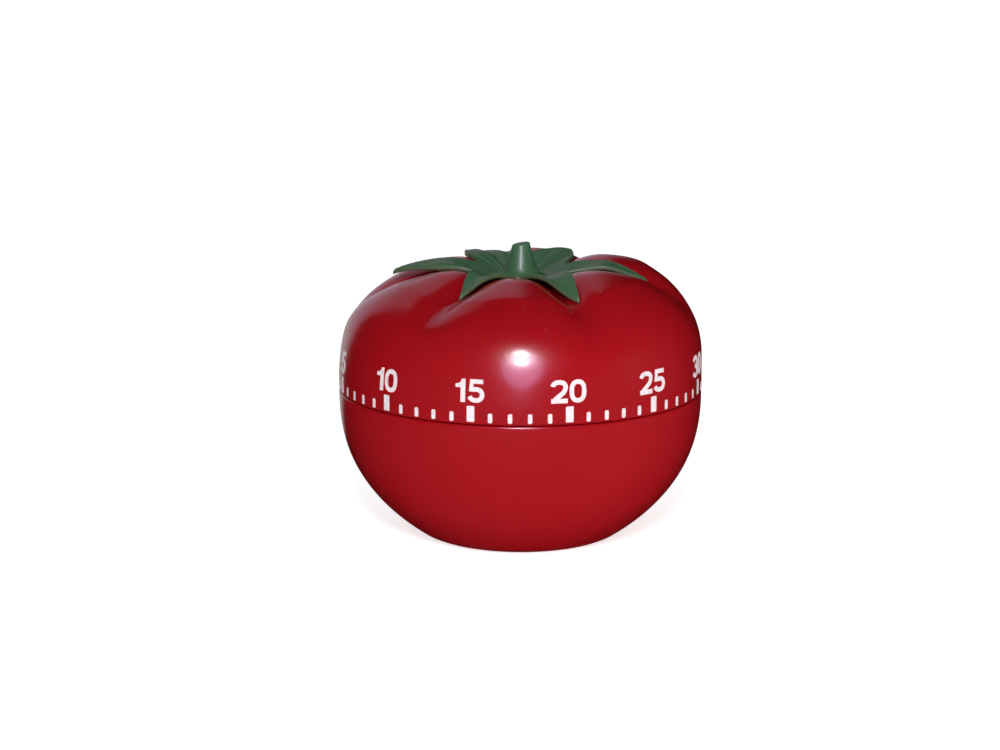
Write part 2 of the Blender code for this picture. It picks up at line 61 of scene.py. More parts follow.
# %% The two outlines
SEAM = 28.5  # height of the parting line
BODY_R, BODY_DEPTH, BODY_P, BODY_Q = 35.0, 35.34, 2.411, 1.390
DOME_R, DOME_H, DOME_P, DOME_Q = 35.0, 26.0, 3.486, 2.397
LOBES = 6
FIRST_CREASE = -20.5  # azimuth of one crease, degrees
FULL_AZ = 125.0  # azimuth of the side on which the dome is fuller
ZERO_AZ = -90.0  # azimuth of the index mark


def body_radius(z):
    return BODY_R * (1 - (max(SEAM - z, 0.0) / BODY_DEPTH) ** BODY_P) ** (1 / BODY_Q)


def dome_radius(h):
    return DOME_R * (1 - (h / DOME_H) ** DOME_P) ** (1 / DOME_Q)


# Over the top of a lobe: radius, height above the seam, depth of the crease beside it, and how much
# fuller the dome is on its full side. Up the side the radius is the outline's own.
SIDE = [(dome_radius(h), h, crease_depth, fuller) for h, crease_depth, fuller in
        ((0.6, 0, 0.0), (4.0, 0, 0.0), (9.0, 0, 0.2), (13.0, 0.2, 0.3),
         (16.5, 0.95, 0.5), (19.2, 1.8, 0.8), (21.3, 2.55, 1.0), (22.5, 3.05, 1.05))]
CREST = SIDE + [
    (19.0, 23.6, 3.5, 0.85), (16.0, 23.9, 3.5, 0.5), (13.0, 23.6, 2.9, 0.15), (10.0, 22.6, 1.7, 0.0),
    (7.0, 21.5, 0.6, 0.0), (4.5, 20.95, 0.1, 0.0), (2.6, 20.8, 0.0, 0.0), (0.0, 20.8, 0.0, 0.0)]
print("foot radius %.1f mm, dome %.1f mm" % (body_radius(0.3), CREST[0][0]))

# %% [markdown]
# A smooth curve through these few points gives the rest. The outward direction is kept at each
# point too, because the creases are pressed along it.

# %% Smooth sampling of the crest line
POINTS_PER_SPAN = 7


def smooth_line(points, per_span):
    """Points on a Catmull-Rom curve through the given ones."""
    p = np.array(points, float)
    p = np.vstack([2 * p[0] - p[1], p, 2 * p[-1] - p[-2]])
    out = []
    for i in range(1, len(p) - 2):
        for t in np.linspace(0, 1, per_span, endpoint=False):
            a, b, c, d = p[i - 1:i + 3]
            out.append(0.5 * (2 * b + (c - a) * t + (2 * a - 5 * b + 4 * c - d) * t * t
                              + (3 * b - a - 3 * c + d) * t ** 3))
    out.append(p[-2])
    return np.array(out)


crest_line = smooth_line(CREST, POINTS_PER_SPAN)
crest_line[:, 0] = np.maximum(crest_line[:, 0], 0.0)
slope = np.gradient(crest_line[:, :2], axis=0)
slope /= np.linalg.norm(slope, axis=1)[:, None]
crest_out = np.stack([slope[:, 1], -slope[:, 0]], 1)  # outward normal in the section
crest_out[-1] = (0.0, 1.0)
print("crest line:", len(crest_line), "points")

# %% [markdown]
# ## Helpers
# A turned shell is a stack of rings joined by quads. One function makes it for any profile, and
# merges the points that fall together on the axis, so the poles stay closed. Prisms, roundings and
# boolean cuts have their helpers here too.

# %% Mesh helpers
def new_object(name, mesh, look=None):
    obj = bpy.data.objects.new(name, mesh)
    bpy.context.scene.collection.objects.link(obj)
    if look:
        mesh.materials.append(look)
    return obj


def clean(mesh, smooth=True):
    """Merge doubled points, turn every face outwards and set the shading."""
    bm = bmesh.new()
    bm.from_mesh(mesh)
    bmesh.ops.remove_doubles(bm, verts=bm.verts, dist=1e-6)
    bmesh.ops.recalc_face_normals(bm, faces=bm.faces)
    bm.to_mesh(mesh)
    bm.free()
    mesh.polygons.foreach_set("use_smooth", [smooth] * len(mesh.polygons))
    return mesh


def mesh_from(name, verts, faces, smooth=True):
    """A mesh from points in millimetres."""
    mesh = bpy.data.meshes.new(name)
    mesh.from_pydata((np.asarray(verts, float) * MM).tolist(), [], faces)
    return clean(mesh, smooth)


def merged(name, meshes):
    """One mesh that holds all the given ones."""
    bm = bmesh.new()
    for mesh in meshes:
        bm.from_mesh(mesh)
    bmesh.ops.recalc_face_normals(bm, faces=bm.faces)
    out = bpy.data.meshes.new(name)
    bm.to_mesh(out)
    bm.free()
    return out


def prism_faces(n):
    """Faces of a prism: the n points of one end are followed by the n points of the other."""
    ends = [tuple(range(n)), tuple(range(n, 2 * n))]
    return ends + [(k, (k + 1) % n, (k + 1) % n + n, k + n) for k in range(n)]


def grid_faces(rows, around, close=False):
    """Quads between rings of points; close joins the last ring to the first."""
    faces = []
    for i in range(rows if close else rows - 1):
        a, b = i * around, (i + 1) % rows * around
        for k in range(around):
            j = (k + 1) % around
            faces.append((a + k, a + j, b + j, b + k))
    return faces


def turned(name, profile, around, centre=(0.0, 0.0), close=False):
    """Revolve (radius, height) points about a vertical axis."""
    az = np.linspace(0, 2 * pi, around, endpoint=False)
    prof = np.asarray(profile, float)
    x = centre[0] + prof[:, :1] * np.cos(az)
    y = centre[1] + prof[:, :1] * np.sin(az)
    z = np.repeat(prof[:, 1:2], around, 1)
    verts = np.stack([x, y, z], 2).reshape(-1, 3)
    return mesh_from(name, verts, grid_faces(len(prof), around, close))


def fillet(corner, a, b, radius, steps=5):
    """Points of an arc-like rounding of the corner between the directions to a and b."""
    c, p, q = (np.array(v, float) for v in (corner, a, b))
    p = c + (p - c) / np.linalg.norm(p - c) * radius
    q = c + (q - c) / np.linalg.norm(q - c) * radius
    return [tuple((1 - t) ** 2 * p + 2 * t * (1 - t) * c + t * t * q) for t in np.linspace(0, 1, steps)]


def evaluated(obj, name):
    """Turn an object with live modifiers into a plain mesh object and drop the original."""
    bpy.context.view_layer.update()
    graph = bpy.context.evaluated_depsgraph_get()
    mesh = bpy.data.meshes.new_from_object(obj.evaluated_get(graph), depsgraph=graph)
    bpy.data.objects.remove(obj, do_unlink=True)
    mesh.name = name
    return new_object(name, mesh)


def cut(obj, tools, operation="DIFFERENCE"):
    """Exact boolean with each tool, applied."""
    for tool in tools:
        mod = obj.modifiers.new("cut", "BOOLEAN")
        mod.operation, mod.solver, mod.object = operation, "EXACT", tool
    done = evaluated(obj, obj.name)
    for tool in tools:
        bpy.data.objects.remove(tool, do_unlink=True)
    return done


def place(obj, body, slot, *nodes):
    """Say what the piece rides on and which solids it stands for. The slot is not used."""
    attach(obj, body)
    if nodes:
        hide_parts(*nodes)
    print(obj.name, "-", len(obj.data.polygons), "faces on", body)
    return obj


print("helpers ready, one unit is %g m" % MM)

# %% [markdown]
# ## Shared surface effects
# Moulded plastic is never perfectly flat: it has a faint ripple from the mould, dull smears from
# handling, and a few specks of dust that settle on what faces up. Each effect is a small node
# group, built once, and every plastic takes it with its own amounts.

# %% Node groups
def node(tree, kind, props=None, **inputs):
    """Add a node. Inputs go by name (underscores for spaces) or number (i0, i1), as values or sockets."""
    made = tree.nodes.new(kind)
    for key, value in (props or {}).items():
        setattr(made, key, value)
    for key, value in inputs.items():
        by_index = key[0] == "i" and key[1:].isdigit()
        socket = made.inputs[int(key[1:]) if by_index else key.replace("_", " ")]
        if isinstance(value, bpy.types.NodeSocket):
            tree.links.new(value, socket)
        else:
            socket.default_value = value
    return made


def math(tree, operation, a, b=0.0, c=None):
    extra = {} if c is None else {"i2": c}
    return node(tree, "ShaderNodeMath", {"operation": operation}, i0=a, i1=b, **extra).outputs[0]


def mul(tree, a, b):
    return math(tree, "MULTIPLY", a, b)


def remap(tree, value, low, high, a=0.0, b=1.0):
    """a below low, b above high, and a straight ramp between."""
    return node(tree, "ShaderNodeMapRange", Value=value, From_Min=low, From_Max=high,
                To_Min=a, To_Max=b).outputs[0]


def noise(tree, at, scale, detail):
    return node(tree, "ShaderNodeTexNoise", Vector=at, Scale=scale, Detail=detail).outputs["Fac"]


def object_at(tree):
    return node(tree, "ShaderNodeTexCoord").outputs["Object"]


def new_group(name, kind, inputs, outputs):
    """A node group with named sockets; inputs are (name, type, default)."""
    tree = bpy.data.node_groups.new(name, kind)
    for label, sort, default in inputs:
        socket = tree.interface.new_socket(name=label, in_out="INPUT", socket_type=sort)
        if default is not None:
            socket.default_value = default
    for label, sort in outputs:
        tree.interface.new_socket(name=label, in_out="OUTPUT", socket_type=sort)
    return tree, tree.nodes.new("NodeGroupInput"), tree.nodes.new("NodeGroupOutput")


FLOAT, VECTOR = "NodeSocketFloat", "NodeSocketVector"


def ripple_group():
    """Height of a mould's faint unevenness: a slow swell and a fine orange peel."""
    tree, src, out = new_group("Mould ripple", "ShaderNodeTree",
                               [("Swell", FLOAT, 0.5), ("Peel", FLOAT, 0.5)], [("Height", FLOAT)])
    at = object_at(tree)
    swell = noise(tree, at, 70.0, 1.0)
    peel = noise(tree, at, 900.0, 1.0)
    both = math(tree, "ADD", mul(tree, swell, src.outputs["Swell"]),
                mul(tree, peel, src.outputs["Peel"]))
    tree.links.new(both, out.inputs["Height"])
    return tree


def handling_group():
    """Mask of the dull smears that fingers leave."""
    tree, src, out = new_group("Handling marks", "ShaderNodeTree",
                               [("Smears", FLOAT, 0.5)], [("Smear", FLOAT)])
    at = object_at(tree)
    warp = node(tree, "ShaderNodeTexNoise", Vector=at, Scale=40.0, Detail=2.0).outputs["Color"]
    bent = node(tree, "ShaderNodeVectorMath", {"operation": "MULTIPLY_ADD"}, i0=warp,
                i1=(0.02, 0.02, 0.02), i2=at).outputs[0]
    smear = noise(tree, bent, 55.0, 3.0)
    smear = remap(tree, smear, 0.42, 0.7)
    tree.links.new(mul(tree, smear, src.outputs["Smears"]), out.inputs["Smear"])
    return tree


def dust_group():
    """Mask of small specks, denser on faces that look up."""
    tree, src, out = new_group("Dust specks", "ShaderNodeTree", [("Amount", FLOAT, 0.5)], [("Mask", FLOAT)])
    at = object_at(tree)
    cells = node(tree, "ShaderNodeTexVoronoi", Vector=at, Scale=420.0)
    speck = remap(tree, cells.outputs["Distance"], 0.05, 0.11, 1.0, 0.0)
    pick = node(tree, "ShaderNodeSeparateColor", Color=cells.outputs["Color"]).outputs[0]
    rare = math(tree, "GREATER_THAN", pick, 0.86)
    facing = node(tree, "ShaderNodeSeparateXYZ",
                  Vector=node(tree, "ShaderNodeNewGeometry").outputs["Normal"]).outputs["Z"]
    up = remap(tree, facing, 0.2, 1.0, 0.1)
    mask = mul(tree, mul(tree, speck, rare), up)
    tree.links.new(mul(tree, mask, src.outputs["Amount"]), out.inputs["Mask"])
    return tree


RIPPLE, HANDLING, DUST = ripple_group(), handling_group(), dust_group()
print("shared effects:", RIPPLE.name, HANDLING.name, DUST.name)

# %% [markdown]
# ## Materials
# The plastic's gloss is a clear coat over a slightly softer base: the coat gives the tight
# highlight and the base gives the glow around it. Colour varies a little over each piece, as it
# does in a real moulding. The calyx has a paler rim, which its mesh marks with an attribute.

# %% Plastics
def principled(name, colour, **sockets):
    mat = bpy.data.materials.new(name)
    mat.use_nodes = True
    tree = mat.node_tree
    shader = tree.nodes["Principled BSDF"]
    shader.inputs["Base Color"].default_value = (*colour, 1.0)
    for key, value in sockets.items():
        shader.inputs[key.replace("_", " ")].default_value = value
    return mat, tree, shader


def group_node(tree, group, **inputs):
    return node(tree, "ShaderNodeGroup", {"node_tree": group}, **inputs)


def mix(tree, amount, a, b):
    """Colour a where amount is 0, b where it is 1."""
    a, b = ((*c, 1.0) if isinstance(c, tuple) else c for c in (a, b))
    return node(tree, "ShaderNodeMix", {"data_type": "RGBA"}, i0=amount, i6=a, i7=b).outputs[2]


DUST_COLOUR = (0.55, 0.5, 0.47)


def moulded(name, deep, bright, rough, coat, dust, swell=0.5, peel=0.5, edge=None):
    """Glossy moulded plastic. deep and bright are the two ends of its colour variation."""
    mat, tree, shader = principled(name, bright, Coat_Weight=coat, Coat_Roughness=0.12, IOR=1.45)
    at = object_at(tree)
    cloud = noise(tree, at, 38.0, 2.0)
    colour = mix(tree, cloud, deep, bright)
    if edge:
        rim = node(tree, "ShaderNodeAttribute", {"attribute_name": "rim"}).outputs["Fac"]
        colour = mix(tree, rim, colour, edge)
    specks = group_node(tree, DUST, Amount=dust).outputs["Mask"]
    tree.links.new(mix(tree, specks, colour, DUST_COLOUR), shader.inputs["Base Color"])
    smear = group_node(tree, HANDLING, Smears=0.5).outputs["Smear"]
    worn = math(tree, "ADD", rough, mul(tree, smear, 0.10))
    worn = math(tree, "ADD", worn, mul(tree, specks, 0.3))
    tree.links.new(worn, shader.inputs["Roughness"])
    height = group_node(tree, RIPPLE, Swell=swell, Peel=peel).outputs["Height"]
    bump = node(tree, "ShaderNodeBump", Strength=0.35, Distance=0.00006, Height=height)
    tree.links.new(bump.outputs["Normal"], shader.inputs["Normal"])
    return mat


tomato_red = moulded("tomato_red", (0.32, 0.002, 0.006), (0.38, 0.004, 0.009), 0.2, 0.5, 0.15)
body_red = moulded("body_red", (0.33, 0.002, 0.006), (0.39, 0.004, 0.009), 0.2, 0.5, 0.05)
leaf_green = moulded("leaf_green", (0.040, 0.120, 0.054), (0.070, 0.175, 0.084), 0.4, 0.1, 0.3,
                     swell=1.2, peel=1.0, edge=(0.09, 0.12, 0.06))
print("plastics:", tomato_red.name, body_red.name, leaf_green.name)

# %% [markdown]
# The scale is pad-printed: a thin, slightly matt white ink that takes a little of the red beneath.

# %% Printing ink
RED_SHOWING = (0.60, 0.30, 0.32)  # where the ink is thin


def ink(name, colour):
    mat, tree, shader = principled(name, colour, Coat_Weight=0.2, Coat_Roughness=0.15)
    at = object_at(tree)
    thin = noise(tree, at, 1400.0, 2.0)
    thin = remap(tree, thin, 0.45, 0.75, b=0.35)
    tree.links.new(mix(tree, thin, colour, RED_SHOWING), shader.inputs["Base Color"])
    rough = math(tree, "MULTIPLY_ADD", thin, 0.4, 0.38)
    tree.links.new(rough, shader.inputs["Roughness"])
    return mat


scale_white = ink("scale_white", (0.86, 0.78, 0.80))
print("ink:", scale_white.name)

# %% [markdown]
# ## Metals
# The movement is stamped brass and steel. Brushed metal is a stretched noise: long in one direction
# and short in the other, driving both roughness and a slight bump.

# %% Metals
def metal(name, colour, tarnish, rough, stretch, film=0.3):
    """Brushed metal: stretch is the scale of the grain on each axis, film how far it tarnishes."""
    mat, tree, shader = principled(name, colour, Metallic=1.0)
    at = object_at(tree)
    grain_at = node(tree, "ShaderNodeMapping", Vector=at, Scale=stretch).outputs[0]
    grain = noise(tree, grain_at, 1.0, 3.0)
    cloud = noise(tree, at, 260.0, 3.0)
    patch = remap(tree, cloud, 0.45, 0.75, b=film)
    tree.links.new(mix(tree, patch, colour, tarnish), shader.inputs["Base Color"])
    base = math(tree, "MULTIPLY_ADD", grain, 0.25, rough)
    tree.links.new(math(tree, "ADD", base, mul(tree, patch, 0.3)), shader.inputs["Roughness"])
    bump = node(tree, "ShaderNodeBump", Strength=0.25, Distance=0.00002, Height=grain)
    tree.links.new(bump.outputs["Normal"], shader.inputs["Normal"])
    return mat


METALS = {
    "brass": metal("stamped_brass", (0.78, 0.53, 0.21), (0.42, 0.24, 0.09), 0.2, (400, 6000, 400)),
    "steel": metal("turned_steel", (0.58, 0.57, 0.56), (0.34, 0.31, 0.28), 0.22, (700, 700, 9000)),
    "zinc_plate": metal("zinc_plate", (0.66, 0.67, 0.66), (0.45, 0.46, 0.47), 0.3, (5000, 500, 500)),
    "spring_steel": metal("blued_spring", (0.10, 0.13, 0.24), (0.20, 0.13, 0.07), 0.18, (600, 600, 8000)),
    "bell_steel": metal("bell_nickel", (0.68, 0.66, 0.62), (0.5, 0.47, 0.42), 0.16, (500, 500, 500), 0.2),
}
SLOT_OF = {s["node"]: s["material_slot"] for s in frame["record"]["subparts"]}
for name, obj in frame["nodes"].items():
    if SLOT_OF[name] in METALS:
        obj.data.materials.clear()
        obj.data.materials.append(METALS[SLOT_OF[name]])
print("metal solids:", sum(s in METALS for s in SLOT_OF.values()))

# %% [markdown]
# ## The lower half
# A bowl with a flat floor. Its rim is rounded like a lip, because two moulded edges never meet
# sharp. The floor has sound slots for the bell, three wells for the screws, and a foot ring.

# %% Lower shell
SCREW_R, SCREW_AZ = 12.4, (90.0, 210.0, 330.0)
SCREW_BORE_R, SCREW_WELL_R, WELL_TOP = 1.2, 2.25, 2.3
SLOT_COUNT, SLOT_IN, SLOT_OUT, SLOT_HALF = 8, 4.0, 8.6, 0.7
FIRST_SLOT = 22.5  # azimuth, half way between two of eight slots
LIP_Z, LIP_WALL, BODY_WALL = 28.42, 2.4, 2.2
FOOT_TOP, FLOOR_TOP, BOSS_TOP = 0.8, 2.8, 8.5
BOSS_R, BOSS_BORE_R = 2.6, 1.0  # the bell stands on this boss


def polar(r, az):
    return r * cos(radians(az)), r * sin(radians(az))


def post(r, z0, z1, centre, around=32):
    return new_object("tool", turned("tool", [(0, z0), (r, z0), (r, z1), (0, z1)], around, centre))


def slot_tool(az, z0, z1):
    """A rounded slot, as a prism that points outwards at the azimuth."""
    mid, half = (SLOT_IN + SLOT_OUT) / 2, (SLOT_OUT - SLOT_IN) / 2 - SLOT_HALF
    loop = []
    for end, turn in ((1, -90), (-1, 90)):
        loop += [(mid + end * half + SLOT_HALF * cos(radians(turn + a)), SLOT_HALF * sin(radians(turn + a)))
                 for a in range(0, 181, 20)]
    c, s = cos(radians(az)), sin(radians(az))
    verts = [(x * c - y * s, x * s + y * c, z) for z in (z0, z1) for x, y in loop]
    return new_object("tool", mesh_from("tool", verts, prism_faces(len(loop))))


def lower_profile():
    """The shell's section: under the foot, up the outside, over the lip and down the inside."""
    heights = np.concatenate([np.linspace(0.75, 6, 10), np.linspace(7, 27.2, 26)])
    outer = [(body_radius(z), z) for z in heights]
    lip_in = BODY_R - LIP_WALL
    rim = fillet((BODY_R, LIP_Z), outer[-1], (30, LIP_Z), 0.4)
    rim += fillet((lip_in, LIP_Z), (40, LIP_Z), (lip_in, 0), 0.45)
    inner = [(body_radius(z) - BODY_WALL, z) for z in np.linspace(26.5, 5.2, 16)]
    floor = [(18.6, FLOOR_TOP), (BOSS_R, FLOOR_TOP), (BOSS_R, BOSS_TOP), (BOSS_BORE_R, BOSS_TOP),
             (BOSS_BORE_R, 4.0), (0, 4.0)]
    foot = [(0, FOOT_TOP), (15.0, FOOT_TOP)] + fillet((15.4, 0.0), (15.2, 0.6), (17.0, 0.0), 0.25, 4)
    foot += fillet((17.75, 0.0), (16.0, 0.0), outer[0], 0.7, 6)
    return foot + outer + rim + inner + floor


lower = new_object("timer_body", turned("timer_body", lower_profile(), 216))
wells = [post(SCREW_BORE_R, 1.5, 20.0, polar(SCREW_R, a)) for a in SCREW_AZ]
wells += [post(SCREW_WELL_R, 0.3, WELL_TOP, polar(SCREW_R, a), 40) for a in SCREW_AZ]
slots = [slot_tool(FIRST_SLOT + 360.0 * k / SLOT_COUNT, 0.3, 3.6) for k in range(SLOT_COUNT)]
lower = cut(lower, wells + slots)
lower.data.materials.append(body_red)
place(lower, "base", "red_plastic", "lower_shell")

# %% [markdown]
# The screw towers stand inside on the floor, and they show a little through the slots.

# %% Screw towers
TOWER = [(SCREW_BORE_R, 2.9), (2.6, 2.9), (2.5, 12.9), (SCREW_BORE_R, 12.9)]
towers = merged("screw_towers", [turned("tower", TOWER, 24, polar(SCREW_R, a), close=True) for a in SCREW_AZ])
place(new_object("screw_towers", towers, body_red), "base", "red_plastic")

# %% [markdown]
# ## The dial
# The dome is turned first as a plain shell, and a Geometry Nodes tree then presses the creases
# between the lobes: each point moves inwards by its own crease depth times a wave that is sharp in
# the crease and round on the lobe. The depth is stored on the points, so the creases fade out by
# themselves half way down.

# %% The crease rule
GROOVE_SHARE, GROOVE_POWER, LOBE_SOFT = 0.35, 7.0, 0.12


def crease(az):
    """How far into a crease an azimuth lies: 1 in the crease, 0 on the lobe."""
    half = np.radians(np.asarray(az, float) - FIRST_CREASE) * LOBES / 2
    lobe = 1 - np.sqrt((np.sin(half) ** 2 + LOBE_SOFT ** 2) / (1 + LOBE_SOFT ** 2))
    return GROOVE_SHARE * (np.cos(half) ** 2) ** GROOVE_POWER + (1 - GROOVE_SHARE) * lobe


def crease_tree():
    """The same rule as nodes, acting on every point of the dome."""
    tree, src, out = new_group("Press the creases", "GeometryNodeTree", [
        ("Geometry", "NodeSocketGeometry", None), ("Lobes", FLOAT, 6.0), ("First crease", FLOAT, 0.0),
        ("Groove share", FLOAT, 0.5), ("Groove power", FLOAT, 9.0), ("Lobe softness", FLOAT, 0.1),
        ("Full side", FLOAT, 0.0), ("Plastic", "NodeSocketMaterial", None)],
        [("Geometry", "NodeSocketGeometry")])
    tree.is_modifier = True
    kinds = (("outward", "FLOAT_VECTOR"), ("crease_depth", "FLOAT"), ("fullness", "FLOAT"))
    read = {name: node(tree, "GeometryNodeInputNamedAttribute", {"data_type": kind}, Name=name).outputs[0]
            for name, kind in kinds}
    at = node(tree, "ShaderNodeSeparateXYZ", Vector=node(tree, "GeometryNodeInputPosition").outputs[0])
    az = math(tree, "ARCTAN2", at.outputs["Y"], at.outputs["X"])
    turn = math(tree, "SUBTRACT", az, math(tree, "RADIANS", src.outputs["First crease"]))
    half = mul(tree, turn, math(tree, "DIVIDE", src.outputs["Lobes"], 2.0))
    soft = math(tree, "POWER", src.outputs["Lobe softness"], 2.0)
    wave = math(tree, "POWER", math(tree, "ABSOLUTE", math(tree, "SINE", half)), 2.0)
    lobe = math(tree, "SUBTRACT", 1.0, math(tree, "SQRT", math(
        tree, "DIVIDE", math(tree, "ADD", wave, soft), math(tree, "ADD", soft, 1.0))))
    groove = math(tree, "POWER", math(tree, "SUBTRACT", 1.0, wave), src.outputs["Groove power"])
    share = src.outputs["Groove share"]
    rest = mul(tree, lobe, math(tree, "SUBTRACT", 1.0, share))
    both = math(tree, "MULTIPLY_ADD", groove, share, rest)
    side = math(tree, "COSINE", math(tree, "SUBTRACT", az, math(tree, "RADIANS", src.outputs["Full side"])))
    push = math(tree, "SUBTRACT", mul(tree, read["fullness"], side),
                mul(tree, read["crease_depth"], both))
    offset = node(tree, "ShaderNodeVectorMath", {"operation": "SCALE"}, i0=read["outward"], Scale=push)
    moved = node(tree, "GeometryNodeSetPosition", Geometry=src.outputs["Geometry"], Offset=offset.outputs[0])
    real = node(tree, "GeometryNodeRealizeInstances", Geometry=moved.outputs[0])
    done = node(tree, "GeometryNodeSetMaterial", Geometry=real.outputs[0], Material=src.outputs["Plastic"])
    tree.links.new(done.outputs[0], out.inputs["Geometry"])
    return tree


def set_inputs(mod, tree, **values):
    """Set a modifier's inputs by the identifiers of its sockets."""
    ids = {item.name: item.identifier for item in tree.interface.items_tree
           if item.item_type == "SOCKET" and item.in_out == "INPUT"}
    for label, value in values.items():
        mod[ids[label.replace("_", " ")]] = value


print("crease rule: %.2f on a lobe, %.2f in a crease" % (crease(FIRST_CREASE + 30), crease(FIRST_CREASE)))

# %% [markdown]
# The shell is one closed skin: up the outside over the crest, down the bore of its hub, back under
# the roof and round the skirt. The inner side follows the outer one, creases and all.

# %% The dome
AROUND = 360  # points in each ring
RIM_Z = 28.58  # lower edge of the dial, just above the lip
WALL = 2.0  # thickness of the moulding
HUB_R, BORE_R, HUB_FOOT, BORE_TOP, HUB_TOP = 4.0, 1.7, 29.0, 44.0, 46.4
SKIRT_IN, SKIRT_OUT, SKIRT_FOOT, SKIRT_TOP = 31.0, 32.0, 26.4, 29.5  # it dips inside the lower half


def dome_rings():
    """Rings of the dial shell: radius, height above seam, outward direction, crease depth, fullness."""
    outer = [(r, h, nr, nh, d, f) for (r, h, d, f), (nr, nh) in zip(crest_line, crest_out)]
    plain = (0, 0, 0, 0)
    base = RIM_Z - SEAM
    rim = [(x, y, 1, 0, 0, CREST[0][3]) for x, y in
           fillet((CREST[0][0] - 0.01, base), (31.0, base), (CREST[0][0], 0.9), 0.35)]
    inner = []
    for k in range(len(crest_line) - 1, 0, -3):
        (r, h, d, f), (nr, nh) = crest_line[k], crest_out[k]
        if r > HUB_R + 0.3:
            inner.append((r - WALL * nr, h - WALL * nh, nr, nh, d, f))
    bore = [(x, z - SEAM, *plain) for x, z in
            ((0, BORE_TOP), (BORE_R, BORE_TOP), (BORE_R, HUB_FOOT), (HUB_R, HUB_FOOT), (HUB_R, HUB_TOP))]
    skirt = [(x, z - SEAM, *plain) for x, z in
             ((SKIRT_OUT, SKIRT_TOP), (SKIRT_IN, SEAM), (SKIRT_IN, SKIRT_FOOT), (SKIRT_OUT, SKIRT_FOOT),
              (SKIRT_OUT, RIM_Z))]
    return rim + outer + bore + inner + skirt


rings = np.array(dome_rings())
az = np.linspace(0, 2 * pi, AROUND, endpoint=False) + radians(FIRST_CREASE)
radius, height, out_r, out_h, depth, fuller = (np.repeat(rings[:, k:k + 1], AROUND, 1) for k in range(6))


def vectors(across, up):
    """Turn section values (across, up) into vectors, one for each point of each ring."""
    return np.stack([across * np.cos(az), across * np.sin(az), up], 2).reshape(-1, 3)


dome_mesh = bpy.data.meshes.new("dial_dome")
dome_mesh.from_pydata((vectors(radius, height + SEAM) * MM).tolist(), [],
                      grid_faces(len(rings), AROUND, close=True))
for label, kind, key, values in (("outward", "FLOAT_VECTOR", "vector", vectors(out_r, out_h)),
                                 ("crease_depth", "FLOAT", "value", depth * MM),
                                 ("fullness", "FLOAT", "value", fuller * MM)):
    dome_mesh.attributes.new(label, kind, "POINT").data.foreach_set(key, values.ravel())
dome = new_object("dial_dome", dome_mesh)
tree = crease_tree()
mod = dome.modifiers.new("creases", "NODES")
mod.node_group = tree
set_inputs(mod, tree, Lobes=float(LOBES), First_crease=FIRST_CREASE, Groove_share=GROOVE_SHARE,
           Groove_power=GROOVE_POWER, Lobe_softness=LOBE_SOFT, Full_side=FULL_AZ, Plastic=tomato_red)
dome = evaluated(dome, "dial_dome")
for label in ("outward", "crease_depth", "fullness"):
    dome.data.attributes.remove(dome.data.attributes[label])
clean(dome.data)
place(dome, "dial", "red_plastic", "dial_shell")

# %% [markdown]
# ## The printed scale
# Marks and numerals are thin films that follow the dome. Each is drawn flat, cut into narrow strips
# so that it can bend, then laid on the surface: its width becomes an angle round the axis and its
# height a length up the outline.

# %% Laying flat artwork on the dome
INK_UNDER, INK_OVER = 0.06, 0.04  # how far the film reaches below and above the surface
outline_h = np.linspace(0.0, 14.0, 400)
outline_r = np.array([dome_radius(h) for h in outline_h])
outline_f = np.interp(outline_h, [c[1] for c in SIDE], [c[3] for c in SIDE])
outline_s = np.concatenate([[0], np.cumsum(np.hypot(np.diff(outline_h), np.diff(outline_r)))])


def lay_on_dome(x, y, z, az0):
    """x along the scale, y up the dome from the parting line, z from -1 (under the ink) to 1 (its face)."""
    h = np.interp(y, outline_s, outline_h)
    angle = np.radians(az0) + x / DOME_R
    full = np.interp(h, outline_h, outline_f) * np.cos(angle - radians(FULL_AZ))
    lean = np.interp(h, outline_h, np.gradient(outline_r, outline_h))
    size = np.sqrt(1 + lean ** 2)
    off = np.where(z > 0, INK_OVER, -INK_UNDER) + full
    r = np.interp(h, outline_h, outline_r) + off / size
    return np.stack([r * np.cos(angle), r * np.sin(angle), SEAM + h - off * lean / size], -1)


def strips(mesh, step_x, step_y):
    """Cut a flat mesh into strips, so that it bends smoothly."""
    bm = bmesh.new()
    bm.from_mesh(mesh)
    bmesh.ops.remove_doubles(bm, verts=bm.verts, dist=1e-5)
    co = np.array([v.co for v in bm.verts])
    for axis, step in ((0, step_x), (1, step_y)):
        for at in np.arange(co[:, axis].min() + step, co[:, axis].max(), step):
            spot, normal = [0, 0, 0], [0, 0, 0]
            spot[axis], normal[axis] = at, 1
            everything = bm.verts[:] + bm.edges[:] + bm.faces[:]
            bmesh.ops.bisect_plane(bm, geom=everything, plane_co=spot, plane_no=normal)
    bmesh.ops.triangulate(bm, faces=bm.faces)
    bm.to_mesh(mesh)
    bm.free()
    return mesh


def lay_mesh(mesh, az0, up):
    """Move a flat mesh (millimetres) onto the dome, up above the rim."""
    co = np.array([v.co for v in mesh.vertices])
    flat = lay_on_dome(co[:, 0], co[:, 1] + up, co[:, 2], az0) * MM
    mesh.vertices.foreach_set("co", flat.ravel())
    mesh.update()
    return mesh


def mark_mesh(width, height, corner):
    """A flat mark with rounded corners, from -1 to 1 in depth."""
    loop = []
    for cx, cy, start in ((1, 1, 0), (-1, 1, 90), (-1, -1, 180), (1, -1, 270)):
        for a in range(0, 91, 30):
            loop.append((cx * (width / 2 - corner) + corner * cos(radians(start + a)),
                         height / 2 + cy * (height / 2 - corner) + corner * sin(radians(start + a))))
    mesh = bpy.data.meshes.new("mark")
    faces = prism_faces(len(loop))
    faces[0] = faces[0][::-1]
    mesh.from_pydata([(x, y, z) for z in (-1.0, 1.0) for x, y in loop], [], faces)
    return mesh


print("outline of the scale: %.2f mm" % outline_s[-1])

